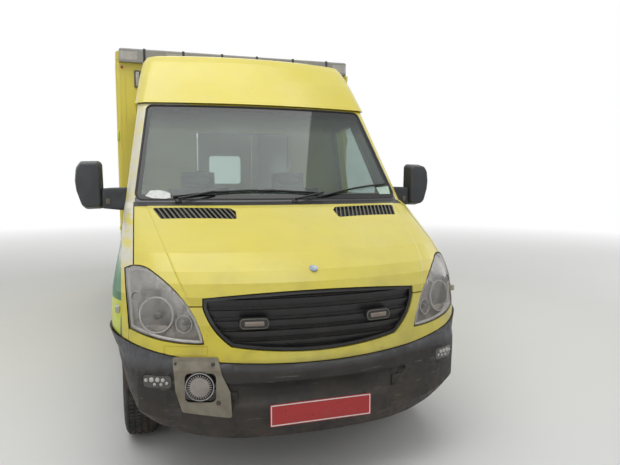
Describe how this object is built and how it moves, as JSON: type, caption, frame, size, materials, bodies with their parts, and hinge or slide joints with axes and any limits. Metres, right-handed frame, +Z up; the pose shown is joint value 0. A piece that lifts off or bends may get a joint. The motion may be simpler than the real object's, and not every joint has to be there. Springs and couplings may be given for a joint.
{
  "type": "box-body ambulance",
  "caption": "Box-body ambulance on a van chassis: hollow cab and load body, hinged doors and bonnet, steered front wheels and twin rear wheels.",
  "frame": {"origin": "on the ground, at the middle of the overall length and width", "axes": "-Y is the vehicle's front, +X its left side, +Z up"},
  "size_m": [2.45, 6.424, 2.6299],
  "materials": {
    "yellow_paint": "gloss",
    "yellow_box": "gloss",
    "dark_plastic": "textured",
    "black_paint": "satin",
    "glass": "clear",
    "lamp_lens": "hazy",
    "red_lens": "gloss",
    "grey_metal": "worn",
    "aluminium": "satin",
    "cast": "rough",
    "steel_rim": "satin",
    "tyre": "matt",
    "plate_red": "gloss",
    "seat_fabric": "woven",
    "interior_grey": "satin",
    "cabinet_white": "satin"
  },
  "bodies": {
    "vehicle": {"chassis_rails": "black_paint", "crossmembers": "black_paint", "engine": "cast", "front_axle": "cast", "rear_axle": "cast", "fuel_tank": "dark_plastic", "cab_shell": "yellow_paint", "front_wings": "yellow_paint", "front_panel": "yellow_paint", "bumper": "dark_plastic", "grille": "dark_plastic", "headlamps": "lamp_lens", "bumper_lamps": "lamp_lens", "grille_lamps": "lamp_lens", "siren_bracket": "grey_metal", "windscreen": "glass", "cowl": "dark_plastic", "dashboard": "interior_grey", "cab_seats": "seat_fabric", "roof_fairing": "yellow_paint", "light_bar": "interior_grey", "light_bar_lenses": "lamp_lens", "inner_wings": "yellow_paint", "box_side_left": "yellow_box", "box_side_right": "yellow_box", "box_front": "yellow_box", "box_rear": "yellow_box", "box_floor": "interior_grey", "box_roof": "yellow_box", "box_window": "glass", "rear_step": "aluminium", "rear_lamps": "red_lens", "cabinets": "cabinet_white", "front_plate": "plate_red", "rear_plate": "plate_red", "cab_collar": "dark_plastic"},
    "bonnet": {"bonnet": "yellow_paint"},
    "knuckle_left": {"knuckle_left": "cast"},
    "knuckle_right": {"knuckle_right": "cast"},
    "front_wheel_left": {"front_tyre_left": "tyre", "front_rim_left": "steel_rim"},
    "front_wheel_right": {"front_tyre_right": "tyre", "front_rim_right": "steel_rim"},
    "rear_wheel_left": {"rear_tyres_left": "tyre", "rear_rims_left": "steel_rim"},
    "rear_wheel_right": {"rear_tyres_right": "tyre", "rear_rims_right": "steel_rim"},
    "side_door": {"side_door": "yellow_box", "side_door_glass": "glass"},
    "cab_door_left": {"cab_door_left": "yellow_paint", "cab_glass_left": "glass", "mirror_left": "dark_plastic"},
    "rear_door_left": {"rear_door_left": "yellow_box", "rear_glass_left": "glass"},
    "cab_door_right": {"cab_door_right": "yellow_paint", "cab_glass_right": "glass", "mirror_right": "dark_plastic"},
    "rear_door_right": {"rear_door_right": "yellow_box", "rear_glass_right": "glass"}
  },
  "joints": [
    {"name": "bonnet_hinge", "type": "hinge", "parent": "vehicle", "child": "bonnet", "pos_m": [0, -2.243, 1.39], "axis": [-1, 0, 0], "range_deg": [0, 50]},
    {"name": "cab_door_left_hinge", "type": "hinge", "parent": "vehicle", "child": "cab_door_left", "pos_m": [0.98593, -2.051, 1], "axis": [0.1311, 0, -0.9914], "range_deg": [0, 65]},
    {"name": "cab_door_right_hinge", "type": "hinge", "parent": "vehicle", "child": "cab_door_right", "pos_m": [-0.98593, -2.051, 1], "axis": [0.1311, 0, 0.9914], "range_deg": [0, 65]},
    {"name": "side_door_hinge", "type": "hinge", "parent": "vehicle", "child": "side_door", "pos_m": [1.023, -0.801, 1.6], "axis": [0, 0, -1], "range_deg": [0, 95]},
    {"name": "rear_door_left_hinge", "type": "hinge", "parent": "vehicle", "child": "rear_door_left", "pos_m": [0.863, 3.115, 1.6], "axis": [0, 0, -1], "range_deg": [0, 110]},
    {"name": "rear_door_right_hinge", "type": "hinge", "parent": "vehicle", "child": "rear_door_right", "pos_m": [-0.863, 3.115, 1.6], "axis": [0, 0, 1], "range_deg": [0, 110]},
    {"name": "steer_left", "type": "hinge", "parent": "vehicle", "child": "knuckle_left", "pos_m": [0.76, -2.198, 0.35], "axis": [0, 0, 1], "range_deg": [-35, 35]},
    {"name": "steer_right", "type": "hinge", "parent": "vehicle", "child": "knuckle_right", "pos_m": [-0.76, -2.198, 0.35], "axis": [0, 0, 1], "range_deg": [-35, 35]},
    {"name": "front_wheel_left_spin", "type": "hinge", "parent": "knuckle_left", "child": "front_wheel_left", "pos_m": [0.855, -2.198, 0.35], "axis": [1, 0, 0], "continuous": true},
    {"name": "front_wheel_right_spin", "type": "hinge", "parent": "knuckle_right", "child": "front_wheel_right", "pos_m": [-0.855, -2.198, 0.35], "axis": [1, 0, 0], "continuous": true},
    {"name": "rear_wheel_left_spin", "type": "hinge", "parent": "vehicle", "child": "rear_wheel_left", "pos_m": [0.771, 1.467, 0.35], "axis": [1, 0, 0], "continuous": true},
    {"name": "rear_wheel_right_spin", "type": "hinge", "parent": "vehicle", "child": "rear_wheel_right", "pos_m": [-0.771, 1.467, 0.35], "axis": [1, 0, 0], "continuous": true}
  ],
  "couplings": [
    {"joint": "steer_right", "follows": "steer_left", "ratio": 1}
  ]
}
